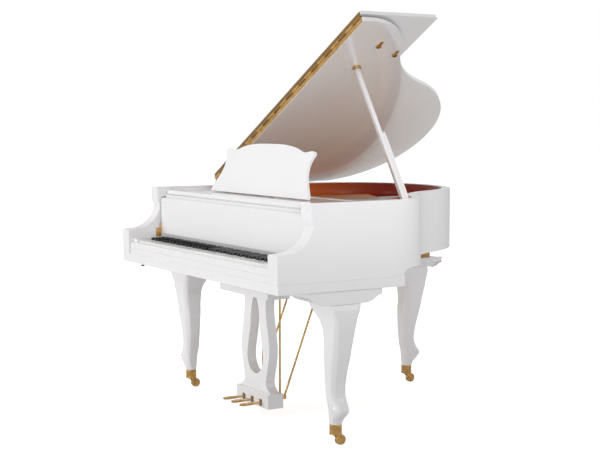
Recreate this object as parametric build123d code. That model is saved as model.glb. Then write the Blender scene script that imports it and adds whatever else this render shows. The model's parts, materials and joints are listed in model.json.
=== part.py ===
from build123d import *
from math import acos, asin, atan2, cos, degrees, hypot, pi, radians, sin, tan
import os

# Baby grand piano on cabriole legs, lid raised and front flap folded back on it.
# Working frame while modelling: X to the treble side, Y to the tail, Z up, floor at Z = 0,
# X = 0 on the middle of the case and Y = 0 on the arms' front faces.

# ---- case ----
case_width = 1500.0
case_length = 1476.0
rim_top = 997.0
rim_wall = 40.0
inner_wall = 46.0
seat_height = 684.0          # top of the key bed's side strips, where the rim sits
raised_bottom = 715.0        # bottom of the rim behind its step
step_start = 602.0
step_length = 36.0
arm_width = 74.0
arm_front_height = 797.0
arm_nose_length = 55.0
arm_cove_top = 906.0
arm_cove_back = 166.0
arm_riser = 152.0
inner_rim_top = 880.0
belly_front = 478.0
belly_depth = 34.0
beam_width = 60.0

# ---- bent side, as bend radii, links and headings in degrees ----
shoulder_radius = 0.1809 * case_width
shoulder_heading = 150.5
waist_link = 0.0782 * case_width
waist_radius = 0.3888 * case_width
waist_heading = 115.5
hip_link = 0.0307 * case_width
hip_radius = 0.3981 * case_width
hip_heading = 200.1

# ---- key bed, keys ----
bed_bottom = 644.0
bed_thickness = 68.0
key_count = 88
keyboard_width = 1225.0
key_front = 22.0
white_head_length = 52.0
sharp_front = 75.0
sharp_length = 90.0
sharp_rise = 12.0
key_rear = 440.0
key_gap = 1.0
key_height = 23.0
key_top = 751.0
head_thickness = 21.0
key_dip_degrees = 2.5
balance_y = 252.0
slip_top = 738.0
slip_depth = 18.0
shift_travel = 3.0
side_clearance = 1.0

# ---- action, strings ----
string_height = 935.0
hammer_line = 404.0
arm_back = 236.0
pin_block_rear = 362.0
pin_block_thickness = 30.0
plate_thickness = 11.0
damper_line = 446.0
damper_lift = 5.0
string_gap = 0.5
bass_count = 20
bass_rise = 7.0
bass_slope = 0.16

# ---- fallboard, shelf, desk ----
fall_bottom = 757.0
fall_height = 191.0
fall_thickness = 15.0
fall_face = 168.0
shelf_front = 200.0
shelf_depth = 275.0
shelf_top = 984.0
shelf_thickness = 18.0
desk_line = 335.0
desk_half_width = 440.0
desk_top_half_width = 387.0
desk_height = 214.0
desk_crest = 24.0
desk_thickness = 13.0
desk_lean = 18.5
strut_height = 105.0

# ---- lid ----
lid_angle = 28.5
lid_thickness = 20.0
lid_overhang = 12.0
lid_gap = 3.0
flap_line = 509.0
flap_depth = 386.0
hinge_pin_radius = 3.0
hinge_barrel_radius = 5.5
leaf_thickness = 2.0
prop_width = 40.0
prop_thickness = 16.0
prop_reach = 1154.0          # along the lid from the spine to the prop cup
prop_y = 692.0
prop_foot = (583.0, 727.0)
prop_pin_height = 974.0
prop_tip_gap = 2.5
prop_fold_heading = 164.0
short_prop_length = 330.0
flap_knuckles = 24
spine_hinge_length = 90.0
brace_x = 118.0
brace_top_y = 615.0
brace_setback = 21.0
brace_height = 89.0

# ---- legs, lyre, pedals ----
leg_plate_width = 172.0
front_leg = (666.0, 321.0)
rear_leg = (-213.0, 1309.0)
leg_top = 592.0
socket_top = 88.0
socket_radius = 25.5
socket_bottom = 47.0
wheel_radius = 21.0
wheel_width = 18.0
caster_trail = 23.0
axle_radius = 3.5
lyre_face = 316.0
lyre_depth = 45.0
lyre_top = 545.0
pedal_box_half = 145.0
pedal_box_front = 300.0
pedal_box_depth = 78.0
pedal_box_bottom = 45.0
pedal_box_height = 65.0
pedal_spacing = 78.0
pedal_reach = 104.0
pedal_width = 22.0
pedal_swing = 6.5
pedal_level = 66.0
rod_radius = 4.5
rod_y = 400.0

half = case_width / 2
bed_top = bed_bottom + bed_thickness
nodes = {}
fall_pivot = (fall_face + 4.5, fall_bottom + 18.0)


def add(name, *solids):
    """Add solids to the node called name."""
    nodes.setdefault(name, []).extend(solids)


def block(x0, x1, y0, y1, z0, z1):
    """Box between two corners."""
    return Pos((x0 + x1) / 2, (y0 + y1) / 2, (z0 + z1) / 2) * Box(x1 - x0, y1 - y0, z1 - z0)


def prism_x(points, x0, x1):
    """Polygon of (y, z) points, extruded along X."""
    face = Face(Wire(Polyline(*[(x0, y, z) for y, z in points], close=True).edges()))
    return Solid.extrude(face, Vector(x1 - x0, 0, 0))


def prism_y(points, y0, y1):
    """Polygon of (x, z) points, extruded along Y."""
    face = Face(Wire(Polyline(*[(x, y0, z) for x, z in points], close=True).edges()))
    return Solid.extrude(face, Vector(0, y1 - y0, 0))


def prism_z(points, z0, z1):
    """Polygon of (x, y) points, extruded along Z."""
    face = Face(Wire(Polyline(*[(x, y, z0) for x, y in points], close=True).edges()))
    return Solid.extrude(face, Vector(0, 0, z1 - z0))


def bar(start, end, radius):
    """Round bar between two points."""
    a, b = Vector(*start), Vector(*end)
    return Solid.make_cylinder(radius, (b - a).length, Plane(origin=a, z_dir=b - a))


def beam(start, end, width, thickness, side):
    """Rectangular bar between two points, its width along the side direction."""
    a, b = Vector(*start), Vector(*end)
    plane = Plane(origin=a, x_dir=Vector(*side), z_dir=b - a)
    return Solid.extrude((plane * Rectangle(width, thickness)).face(), b - a)


# ================= case outline =================
def bend(x, y, start, end, radius, turn):
    """End point of an arc from one heading to another; turn is +1 to the left, -1 to the right."""
    a, b = radians(start), radians(end)
    return x + turn * radius * (sin(b) - sin(a)), y + turn * radius * (cos(a) - cos(b))


def outline_run():
    """Stretches of the bent side from the treble corner to the spine: start, headings, radius, turn."""
    run = []
    x, y, heading = half, 0.0, 90.0
    steps = (
        (shoulder_heading, shoulder_radius, 1, waist_link),
        (waist_heading, waist_radius, -1, hip_link),
        (hip_heading, hip_radius, 1, 0.0),
    )
    for end, radius, turn, link in steps:
        run.append((x, y, heading, end, radius, turn))
        x, y = bend(x, y, heading, end, radius, turn)
        x += link * cos(radians(end))
        y += link * sin(radians(end))
        heading = end
    tail = (x + half) / (1 + sin(radians(heading)))
    run.append((x, y, heading, 270.0, tail, 1))
    return run


def outline_reach():
    """How far the bent side runs behind its start, up to the tail."""
    x, y, start, end, radius, turn = outline_run()[2]
    return y + radius * (cos(radians(start)) + 1)


bend_start = case_length - outline_reach()


def outline_points(out=0.0, step=6.0):
    """Points along the case outline moved outward by out, about step degrees apart on the bends."""
    points = []
    for x, y, start, end, radius, turn in outline_run():
        count = max(2, round(abs(end - start) / step))
        for i in range(count + 1):
            heading = start + (end - start) * i / count
            px, py = bend(x, y, start, heading, radius, turn)
            side = radians(heading)
            points.append((px + out * sin(side), bend_start + py - out * cos(side)))
    return points


def outline_face(out, front, z):
    """Flat face inside the case outline moved outward by out, cut off square at front."""
    edges = []
    last = (half + out, front)
    for x, y, start, end, radius, turn in outline_run():
        marks = []
        for heading in (start, (start + end) / 2, end):
            px, py = bend(x, y, start, heading, radius, turn)
            side = radians(heading)
            marks.append((px + out * sin(side), bend_start + py - out * cos(side), z))
        if (Vector(last[0], last[1], z) - Vector(*marks[0])).length > 0.01:
            edges.append(Line((last[0], last[1], z), marks[0]))
        edges.append(ThreePointArc(*marks))
        last = marks[2]
    edges.append(Line(last, (-half - out, front, z)))
    edges.append(Line((-half - out, front, z), (half + out, front, z)))
    return Face(Wire([e.edge() for e in edges]))


def outline_slab(out, front, z0, z1):
    """Slab inside the moved case outline between two heights."""
    return Solid.extrude(outline_face(out, front, z0), Vector(0, 0, z1 - z0))


def outline_back(x, out=0.0):
    """Y of the moved case outline at x, on the tail side."""
    points = outline_points(out, 2.0)
    best = 0.0
    for (x0, y0), (x1, y1) in zip(points, points[1:]):
        if min(x0, x1) <= x <= max(x0, x1) and x0 != x1:
            best = max(best, y0 + (y1 - y0) * (x - x0) / (x1 - x0))
    return best


# ================= rim =================
def arm_shape(x0, x1):
    """One arm: low nose, cove and upright riser, joined to the rim behind it."""
    back = arm_back
    knee = ((arm_nose_length + arm_cove_back) / 2 + 18, (arm_front_height + arm_cove_top) / 2 - 14)
    edges = [
        Line((x0, 0, seat_height), (x0, 0, arm_front_height)),
        Line((x0, 0, arm_front_height), (x0, arm_nose_length, arm_front_height + 4)),
        ThreePointArc((x0, arm_nose_length, arm_front_height + 4), (x0, *knee), (x0, arm_cove_back, arm_cove_top)),
        Line((x0, arm_cove_back, arm_cove_top), (x0, arm_riser, arm_cove_top + 30)),
        Line((x0, arm_riser, arm_cove_top + 30), (x0, arm_riser, rim_top)),
        Line((x0, arm_riser, rim_top), (x0, back, rim_top)),
        Line((x0, back, rim_top), (x0, back, seat_height)),
        Line((x0, back, seat_height), (x0, 0, seat_height)),
    ]
    return Solid.extrude(Face(Wire([e.edge() for e in edges])), Vector(x1 - x0, 0, 0))


def step_cut():
    """Space below the raised rear part of the rim, with a quarter-round step at its front."""
    x0 = -half - 50
    run = case_length + 100
    mid = (step_start + step_length * 0.35, seat_height + (raised_bottom - seat_height) * 0.72)
    edges = [
        Line((x0, step_start, seat_height - 5), (x0, step_start, seat_height)),
        ThreePointArc((x0, step_start, seat_height), (x0, *mid), (x0, step_start + step_length, raised_bottom)),
        Line((x0, step_start + step_length, raised_bottom), (x0, run, raised_bottom)),
        Line((x0, run, raised_bottom), (x0, run, seat_height - 5)),
        Line((x0, run, seat_height - 5), (x0, step_start, seat_height - 5)),
    ]
    return Solid.extrude(Face(Wire([e.edge() for e in edges])), Vector(case_width + 100, 0, 0))


def make_rim():
    front = arm_back
    shell = outline_slab(0, front, seat_height, rim_top)
    shell = shell - outline_slab(-rim_wall, front - 1, seat_height - 1, rim_top + 1)
    shell = shell - step_cut()
    body = shell.solid()
    for side in (-1, 1):
        x0, x1 = sorted((side * half, side * (half - arm_width)))
        body = body.fuse(arm_shape(x0, x1)).solid()
    add("outer_rim", body)
    inner = outline_slab(-rim_wall, belly_front, raised_bottom, inner_rim_top)
    inner = inner - outline_slab(-rim_wall - inner_wall, belly_front - 1, raised_bottom - 1, inner_rim_top + 1)
    add("inner_rim", inner.solid())
    inside = half - rim_wall - inner_wall
    rail = block(-inside, inside, belly_front, belly_front + belly_depth, raised_bottom, inner_rim_top)
    add("inner_rim", rail)


def make_beams():
    """Braces below the soundboard: fan from the belly rail to the rear leg's block at the tail."""
    z0, z1 = raised_bottom, raised_bottom + 75
    front = belly_front + belly_depth
    space = outline_slab(-rim_wall - inner_wall, front, z0, z1)
    tail_x = rear_leg[0]
    tail_y = rear_leg[1] - 70
    block_half = 95
    tail = block(tail_x - block_half, tail_x + block_half, tail_y, case_length, z0, z1) & space
    fan = [tail.solid()]
    for foot in (-0.78, -0.3, 0.28):
        x = foot * (half - rim_wall - inner_wall)
        aim = tail_x + foot * block_half * 0.6
        w = beam_width / 2
        strip = prism_z([(x - w, front), (x + w, front), (aim + w, tail_y), (aim - w, tail_y)], z0, z1)
        for other in fan[1:]:
            strip = strip - other
        fan.append(strip.solid())
    add("under_beams", *fan)
    leg_block = block(tail_x - 85, tail_x + 85, rear_leg[1] - 60, rear_leg[1] + 78, bed_bottom, raised_bottom)
    add("under_beams", leg_block)


def make_key_bed():
    lower = block(-half, half, 2, step_start, bed_bottom, seat_height)
    inside = half - arm_width
    add("key_bed", lower, block(-inside, inside, 6, key_rear + 14, seat_height, bed_top))
    add("key_slip", block(-inside, inside, 8, 8 + slip_depth * 0.6, bed_top, slip_top))
    for side in (-1, 1):
        x0, x1 = sorted((side * (inside), side * (keyboard_width / 2 + shift_travel + side_clearance)))
        add("key_blocks_and_rail", block(x0, x1, key_front - 2, fall_face - 4, bed_top, key_top + 4))
    reach = half - arm_width - side_clearance - 14
    back = fall_face + fall_thickness + 4
    rail = block(-reach, reach, back, back + 12, fall_bottom + 68, shelf_top - shelf_thickness - 4)
    add("key_blocks_and_rail", rail)


# ================= soundboard, plate, strings =================
board_thickness = 8.0
plate_lift = 22.0
plate_bottom = inner_rim_top + board_thickness + plate_lift
plate_top = plate_bottom + plate_thickness
plate_margin = 3.0
strut_half = 9.0


def make_soundboard():
    z0 = inner_rim_top
    board = outline_slab(-rim_wall, belly_front, z0, z0 + board_thickness)
    add("soundboard", board)
    inside = half - rim_wall - inner_wall
    for i in range(7):
        x = -inside * 0.62 + i * inside * 0.2
        y0 = belly_front + belly_depth + 12
        y1 = min(outline_back(x - 30, -rim_wall - inner_wall), outline_back(x + 30, -rim_wall - inner_wall)) - 25
        if y1 - y0 > 120:
            add("soundboard", block(x - 10, x + 10, y0, y1, z0 - 18, z0))


def string_run(i):
    """Front and rear end of string i, as ((x, y), (x, y)), on the plate's frame."""
    x0 = slot_centre(i)
    share = i / (key_count - 1)
    bass = i < bass_count
    if bass:
        length = (case_length - 240 - pin_block_rear) * (1 - 0.006 * i)
        x1 = x0 + bass_slope * length
    else:
        length = 60 + 990 * (1 - (i - bass_count) / 67) ** 1.35
        x1 = x0 - 0.05 * length * (1 - share)
    y1 = pin_block_rear + length
    return (x0, pin_block_rear - 20), (x1, y1)


def fit_rear(start, end):
    """Shorten a string so that its rear end stays on the plate's rear web."""
    (x0, y0), (x1, y1) = start, end
    share = 1.0
    while share > 0.1:
        x = x0 + (x1 - x0) * share
        y = y0 + (y1 - y0) * share
        if y < outline_back(x, -rim_wall - plate_margin - 30) and abs(x) < half - rim_wall - 40:
            return (x, y)
        share -= 0.01
    return (x1, y1)


def strut_places():
    """Middles of the plate's struts, as shares of the half width inside the rim."""
    inside = half - rim_wall - plate_margin
    return [share * inside for share in (-0.52, -0.06, 0.36, 0.68)]


def make_plate():
    """Cast frame: front web on the pin block, a rear web round the edge and four struts between them."""
    out = -rim_wall - plate_margin
    front = arm_back
    body = outline_slab(out, front, plate_bottom, plate_top)
    gap_front = pin_block_rear + 8
    window = outline_slab(out - 74, gap_front, plate_bottom - 1, plate_top + 1)
    for x in strut_places():
        strut = block(x - strut_half, x + strut_half, gap_front - 10, case_length, plate_bottom - 2, plate_top + 2)
        window = window - strut
    body = body - window
    add("iron_plate", *body.solids())
    for x, y in outline_points(out - 30, 30.0)[::2]:
        add("iron_plate", Pos(x, y, inner_rim_top + board_thickness + plate_lift / 2) * Cylinder(9, plate_lift))
    block_half = half - rim_wall
    z1 = plate_bottom
    add("pin_block", block(-block_half, block_half, arm_back, pin_block_rear, z1 - pin_block_thickness, z1))


def slot_centre(i):
    """Middle of the stick of key i, counted from the lowest A."""
    return key_slot(i)[0] + key_slot(i)[1] / 2


def string_radius(i):
    """Copper-wound bass strings are thicker towards the bottom; the others are plain wire."""
    return 2.2 - 0.06 * i if i < bass_count else 0.6


def make_strings():
    for i in range(key_count):
        start, end = string_run(i)
        end = fit_rear(start, end)
        bass = i < bass_count
        radius = string_radius(i)
        level = string_height + (bass_rise if bass else 0.0)
        add("strings", bar((start[0], start[1], level), (end[0], end[1], level), radius))
        pin_y = arm_back + 20 + 22 * (i % 4)
        pin = Pos(start[0], pin_y, plate_top + 20) * Cylinder(3.4, 40)
        add("tuning_pins", pin)


def make_bridges():
    """Long treble bridge and short bass bridge, standing on the soundboard."""
    z0 = inner_rim_top + board_thickness
    inside = half - rim_wall - inner_wall
    long_run = [(-0.42, 1190), (-0.2, 1150), (0.05, 1010), (0.3, 850), (0.52, 720), (0.74, 560)]
    points = [(x * inside, y) for x, y in long_run]
    for (xa, ya), (xb, yb) in zip(points, points[1:]):
        size = hypot(xb - xa, yb - ya)
        nx, ny = -(yb - ya) / size * 16, (xb - xa) / size * 16
        add("bridges", prism_z([(xa, ya - 16), (xb, yb - 16), (xb, yb + 16), (xa, ya + 16)], z0, z0 + 18))


# ================= keys and action =================
octave = ("a", "a_sharp", "b", "c", "c_sharp", "d", "d_sharp", "e", "f", "f_sharp", "g", "g_sharp")
white_steps = (0, 0, 1, 2, 2, 3, 3, 4, 5, 5, 6, 6)
white_width = keyboard_width / 52


def key_slot(i):
    """Left edge and width of the stick of key i: five share three whites, seven share four."""
    turn, note = divmod(i + 9, 12)
    base = -keyboard_width / 2 + (turn * 7 - 5) * white_width
    if note < 5:
        wide = 3 * white_width / 5
        return base + note * wide, wide
    wide = 4 * white_width / 7
    return base + 3 * white_width + (note - 5) * wide, wide


def is_sharp(i):
    return (i + 9) % 12 in (1, 3, 6, 8, 10)


def make_keys():
    for i in range(key_count):
        name = "keys_" + octave[i % 12]
        left, wide = key_slot(i)
        x0, x1 = left + key_gap / 2, left + wide - key_gap / 2
        top = key_top
        low = key_top - key_height
        if is_sharp(i):
            add(name, block(x0, x1, sharp_front, key_rear, low, top - 1.5))
            y0, y1 = sharp_front, sharp_front + sharp_length
            cap = [(y0, top - 1.5), (y0 + 5, top + sharp_rise), (y1, top + sharp_rise), (y1, top - 1.5)]
            add(name, prism_x(cap, x0 + 1.2, x1 - 1.2))
        else:
            white = 7 * (i // 12) + white_steps[i % 12]
            w0 = -keyboard_width / 2 + white * white_width
            split = key_front + white_head_length - 1
            head_end = w0 + white_width - key_gap / 2
            add(name, block(w0 + key_gap / 2, head_end, key_front, split, top - head_thickness, top))
            add(name, block(x0, x1, split, key_rear, low, top))


def make_key_frame():
    """Sliding frame under the keys: three rails across and five runners, resting on the key bed."""
    reach = keyboard_width / 2
    z0 = bed_top + 0.2
    low = key_top - key_height
    for x in (-0.96, -0.5, 0.0, 0.5, 0.96):
        add("key_frame", block(x * reach - 20, x * reach + 20, 60, key_rear - 4, z0, z0 + 6))
    add("key_frame", block(-reach, reach, 34, 60, z0, z0 + 6))
    ridge = low - 0.4
    rail = [(balance_y - 18, z0 + 6), (balance_y + 18, z0 + 6), (balance_y + 3, ridge), (balance_y - 3, ridge)]
    add("key_frame", prism_x(rail, -reach, reach))
    add("key_frame", block(-reach, reach, key_rear - 4, key_rear + 6, z0, z0 + 6))


def make_action():
    """Hammers on their rail with the brackets that stand behind and between the keys."""
    reach = keyboard_width / 2
    rail_z = key_top + 66
    rail_y = hammer_line - 128
    z0 = bed_top + 0.2
    rear = key_rear + 14
    for side in (-1, 1):
        x0, x1 = sorted((side * reach, side * (reach - 8)))
        add("hammer_action", block(x0, x1, rear, rear + 6, z0 + 10, rail_z + 8))
        add("hammer_action", block(x0, x1, rail_y - 8, rear, rail_z - 10, rail_z + 8))
    inside = reach - 8
    add("hammer_action", block(-inside, inside, rail_y - 8, rail_y + 10, rail_z - 10, rail_z + 8))
    add("hammer_action", block(-inside, inside, hammer_line - 30, hammer_line - 16, rail_z - 4, rail_z + 8))
    add("hammer_action", block(-reach, reach, key_rear + 6, rear + 6, z0, z0 + 10))
    top = string_height - 46
    for i in range(key_count):
        x = slot_centre(i)
        add("hammer_action", block(x - 2.2, x + 2.2, rail_y, hammer_line - 4, rail_z + 8, rail_z + 13))
        head = [(hammer_line - 4, rail_z + 4), (hammer_line + 5, rail_z + 4), (hammer_line + 11, top - 14),
                (hammer_line + 2, top), (hammer_line - 8, top - 14)]
        add("hammer_action", prism_x(head, x - 4.6, x + 4.6))


damped = 66
wire_offset = 5.4
damper_head = 14.0


def damper_x(i):
    start, end = string_run(i)
    end = fit_rear(start, end)
    share = (damper_line - start[1]) / (end[1] - start[1])
    return start[0] + (end[0] - start[0]) * share


def damper_places():
    """Notes that have a damper, as (note, x): their wires pass clear of every string and strut."""
    middles = [(damper_x(i), string_radius(i)) for i in range(key_count)]
    places = []
    for i in range(damped):
        wire = middles[i][0] + wire_offset
        clear = all(abs(x - wire) > radius + 1.3 for x, radius in middles)
        clear = clear and all(abs(x - wire) > strut_half + 2 for x in strut_places())
        if clear:
            places.append((i, middles[i][0]))
    return places


def make_dampers():
    """Felts and wood heads above the strings, wires beside them, and the tray that lifts them all."""
    tray_z = key_top + 20
    y0, y1 = damper_line - 9, damper_line + 9
    places = damper_places()
    left, right = places[0][1], places[-1][1] + 2 * wire_offset
    add("dampers", block(left, right, damper_line - 4, damper_line + 4, tray_z, tray_z + 12))
    for i, x in places:
        felt = string_height + (bass_rise if i < bass_count else 0.0) + string_radius(i) + string_gap
        add("dampers", block(x - 3.2, x + 6.6, y0, y1, felt, felt + damper_head))
        wire = x + wire_offset
        add("dampers", block(wire - 0.8, wire + 0.8, damper_line - 0.8, damper_line + 0.8, tray_z + 12, felt))


# ================= fallboard, shelf and desk =================


def make_fallboard():
    inside = half - arm_width - side_clearance - 4
    y0, y1 = fall_face, fall_face + fall_thickness
    z1 = fall_bottom + fall_height
    shape = [(y0, fall_bottom + 3), (y0 + 4, fall_bottom), (y1, fall_bottom), (y1, z1), (y0 + 6, z1), (y0, z1 - 8)]
    hole = bar((-inside - 1, *fall_pivot), (inside + 1, *fall_pivot), hinge_pin_radius + 0.05)
    ends = block(-inside + 14, inside - 14, y0 - 5, y1 + 5, fall_bottom, fall_bottom + 40)
    add("fallboard", (prism_x(shape, -inside, inside) - (hole - ends)).solid())
    for side in (-1, 1):
        x0, x1 = sorted((side * (half - arm_width), side * (half - arm_width - 4)))
        ear = block(x0, x1, fall_face - 6, fall_face + 26, fall_bottom + 4, fall_bottom + 66)
        start = (side * (inside - 12), *fall_pivot)
        pin = bar(start, (side * (half - arm_width - 2), *fall_pivot), hinge_pin_radius)
        add("fallboard_pivots", (ear + pin).solid())


def make_shelf():
    inside = half - arm_width - side_clearance
    z0 = shelf_top - shelf_thickness
    y0, y1 = shelf_front, shelf_front + shelf_depth
    panel = block(-inside, inside, y0, arm_back, z0, shelf_top)
    rear = block(-inside, inside, arm_back, y1, z0, shelf_top)
    add("music_shelf", panel + rear)
    for side in (-1, 1):
        x0, x1 = sorted((side * (half - arm_width), side * (half - arm_width - 14)))
        add("outer_rim", block(x0, x1, y0 - 30, arm_back, z0 - 12.2, z0 - 0.2))
        x0, x1 = sorted((side * (half - rim_wall), side * (half - arm_width - 14)))
        add("outer_rim", block(x0, x1, arm_back, y1 + 20, z0 - 12.2, z0 - 0.2))


desk_pin_radius = 4.2
desk_axis = (desk_line + 4.5, shelf_top + desk_pin_radius + 0.4)


def strut_ends():
    """Upper and lower end of the strut as (y, z), on the desk's back and on the shelf."""
    lean = radians(desk_lean)
    run, level = desk_axis
    top = (run + strut_height * sin(lean), level + strut_height * cos(lean))
    return top, (2 * top[0] - run, level)


def make_desk():
    w, t, h = desk_half_width, desk_top_half_width, desk_height
    lean = radians(desk_lean)
    plane = Plane(origin=(0, desk_line, shelf_top + 1.5), x_dir=(1, 0, 0), z_dir=(0, -cos(lean), sin(lean)))
    right = [
        Line((w, 0), (w, 14)),
        Spline((w, 14), (w - 34, 60), (t - 14, h * 0.62), (t + 4, h - 26)),
        ThreePointArc((t + 4, h - 26), (t + 3, h - 8), (t - 8, h - 4)),
        Spline((t - 8, h - 4), (t - 70, h - 10), (t - 140, h + 6), (t - 230, h + desk_crest * 0.8), (0, h + desk_crest),
               tangents=((-1, 0.1), (-1, 0))),
    ]
    edges = [e.edge() for e in right]
    edges += [e.edge().mirror(Plane.YZ) for e in right]
    edges.append(Line((-w, 0), (w, 0)).edge())
    face = Face(Wire(edges))
    local = Solid.extrude(face, Vector(0, 0, desk_thickness))
    placed = plane.location * local
    pins = [bar((x - 30, *desk_axis), (x + 30, *desk_axis), desk_pin_radius) for x in (-300, 0, 300)]
    add("music_desk", placed.fuse(*pins).solid())


def make_desk_strut():
    """Strut hinged high on the desk's back; its foot stands on the shelf as far back as the desk's foot."""
    top, foot = strut_ends()
    add("desk_strut", beam((0, *top), (0, *foot), 30, 5, (1, 0, 0)))


# ================= lid =================
def on_lid(s, y, lift=0.0):
    """World point of the raised lid: s along it from the spine's face, lift above its underside."""
    a = radians(lid_angle)
    run = s - half - lid_axis[0]
    return (lid_axis[0] + run * cos(a) - lift * sin(a), y, lid_axis[1] + run * sin(a) + lift * cos(a))


lid_bottom = rim_top + lid_gap
lid_axis = (-half - hinge_barrel_radius - 0.5, lid_bottom)
flap_axis = (flap_line - leaf_thickness - 0.5, lid_bottom + lid_thickness + hinge_barrel_radius + 0.4)


def raise_lid(solid):
    """Turn a solid modelled on the closed lid up to the lid's rest angle."""
    return solid.rotate(Axis((lid_axis[0], 0, lid_axis[1]), (0, -1, 0)), lid_angle)


def make_lid():
    closed = outline_slab(lid_overhang, flap_line, lid_bottom, lid_bottom + lid_thickness)
    closed = closed - bar((lid_axis[0], flap_line - 1, lid_axis[1]), (lid_axis[0], case_length, lid_axis[1]),
                          hinge_barrel_radius + 0.8)
    add("lid", raise_lid(closed.solid()))
    z0 = flap_axis[1] * 2 - lid_bottom - lid_thickness
    flap = block(-half, half + lid_overhang, flap_line, flap_line + flap_depth, z0, z0 + lid_thickness)
    add("front_flap", raise_lid(flap))


def make_flap_hinge():
    """Continuous hinge on the front edges of lid and flap: two leaves with alternate knuckles and a pin."""
    run0, run1 = -half + 12, half + lid_overhang - 8
    pitch = (run1 - run0) / flap_knuckles
    y, z = flap_axis
    clear = hinge_barrel_radius + 0.4
    bore = bar((run0 - 1, y, z), (run1 + 1, y, z), hinge_pin_radius - 1 + 0.05)
    for turn, name, side in ((0, "lid_hinge_leaves", -1), (1, "flap_hinge_leaf", 1)):
        z0, z1 = sorted((z + side * clear, z + side * (lid_thickness + clear - 2)))
        pieces = [block(run0, run1, flap_line - leaf_thickness, flap_line, z0, z1)]
        for k in range(turn, flap_knuckles, 2):
            a, b = run0 + k * pitch + 0.3, run0 + (k + 1) * pitch - 0.3
            z0, z1 = sorted((z + side * clear, z + side * hinge_barrel_radius * 0.5))
            leaf = block(a, b, flap_line - leaf_thickness, flap_line, z0, z1)
            tube = bar((a, y, z), (b, y, z), hinge_barrel_radius) + leaf
            pieces.append(tube - bore)
        add(name, raise_lid(pieces[0].fuse(*pieces[1:])))
    add("lid_hinge_leaves", raise_lid(bar((run0 + 1, y, z), (run1 - 1, y, z), hinge_pin_radius - 1)))


def make_spine_hinges():
    """Three butt hinges along the spine: leaf on the case side, leaf on the lid, pin held by the case leaf."""
    x, z = lid_axis
    r = hinge_barrel_radius
    for y in (flap_line + 60, flap_line + 250, flap_line + 440):
        size = spine_hinge_length / 3
        for k in (0, 2):
            barrel = bar((x, y + k * size, z), (x, y + (k + 1) * size - 0.3, z), r)
            tab = block(x - 1, -half, y + k * size, y + (k + 1) * size - 0.3, z - r - 6, z - r * 0.6)
            add("rim_hinge_leaves", (barrel + tab).solid())
        leaf = block(-half - leaf_thickness, -half, y, y + spine_hinge_length, z - 42, z - r - 6)
        add("rim_hinge_leaves", leaf)
        pin = bar((x, y + size - 0.3, z), (x, y + 2 * size, z), hinge_pin_radius)
        add("rim_hinge_leaves", pin)
        middle = bar((x, y + size + 0.3, z), (x, y + 2 * size - 0.6, z), r)
        plate = block(x, -half + 30, y + size + 0.3, y + 2 * size - 0.6, z - 1.8, z)
        knuckle = (middle + plate) - bar((x, y, z), (x, y + spine_hinge_length, z), hinge_pin_radius + 0.05)
        add("lid_hinge_leaves", raise_lid(knuckle.solid()))


def prop_frame():
    """Pin point, unit vectors along the raised stick, along its pin and across it, length and fold angle."""
    foot = Vector(*prop_foot, prop_pin_height)
    tip = Vector(*on_lid(prop_reach, prop_y, -prop_tip_gap))
    along = (tip - foot).normalized()
    heading = radians(prop_fold_heading)
    folded = Vector(cos(heading), sin(heading), 0)
    pin = along.cross(folded).normalized()
    return foot, along, pin, pin.cross(along), (tip - foot).length, degrees(acos(along.dot(folded)))


def flat_stick(foot, along, pin, across, start, widths, side, thickness):
    """Tapered stick as a prism along its pin; widths are (distance along, half width) pairs."""
    base = foot + pin * start
    left = [base + along * d + across * w for d, w in widths]
    right = [base + along * d - across * w for d, w in reversed(widths)]
    face = Face(Wire(Polyline(*(left + right), close=True).edges()))
    return Solid.extrude(face, pin * (side * thickness))


def make_prop():
    foot, along, pin, across, length, fold = prop_frame()
    gap = 0.3
    t = prop_thickness
    eye = bar(tuple(foot - pin * t * 2), tuple(foot + pin * t * 2), hinge_pin_radius + 0.05)
    wide = prop_width / 2
    long_widths = [(-13, wide * 0.5), (0, wide * 0.72), (60, wide * 0.8), (length - 40, wide * 0.5),
                   (length, wide * 0.3)]
    add("prop_stick", (flat_stick(foot, along, pin, across, gap / 2, long_widths, 1, t) - eye).solid())
    short = [(-13, wide * 0.5), (0, wide * 0.72), (60, wide * 0.8), (short_prop_length - 30, wide * 0.66),
             (short_prop_length, wide * 0.4)]
    add("short_stick", (flat_stick(foot, along, pin, across, -gap / 2, short, -1, t * 0.75) - eye).solid())
    low = -(t * 0.75 + gap)
    high = t + gap
    ears = []
    wall = (Vector(1, 0, 0) - pin * pin.X).normalized()
    rim = nodes["outer_rim"][0]
    for start in (low - 5, high):
        base = foot + pin * start
        plane = Plane(origin=base, x_dir=wall, z_dir=pin)
        arm = Solid.extrude((plane * Pos(40, 0) * Rectangle(80, 18)).face(), pin * 5)
        pieces = (arm - rim).solids()
        ears.append(min(pieces, key=lambda piece: (piece.center() - base).length))
        ears.append(bar(tuple(base), tuple(base + pin * 5), 11))
    ears.append(bar(tuple(foot + pin * (low - 5)), tuple(foot + pin * (high + 5)), hinge_pin_radius))
    add("prop_bracket", ears[0].fuse(*ears[1:]))


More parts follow.
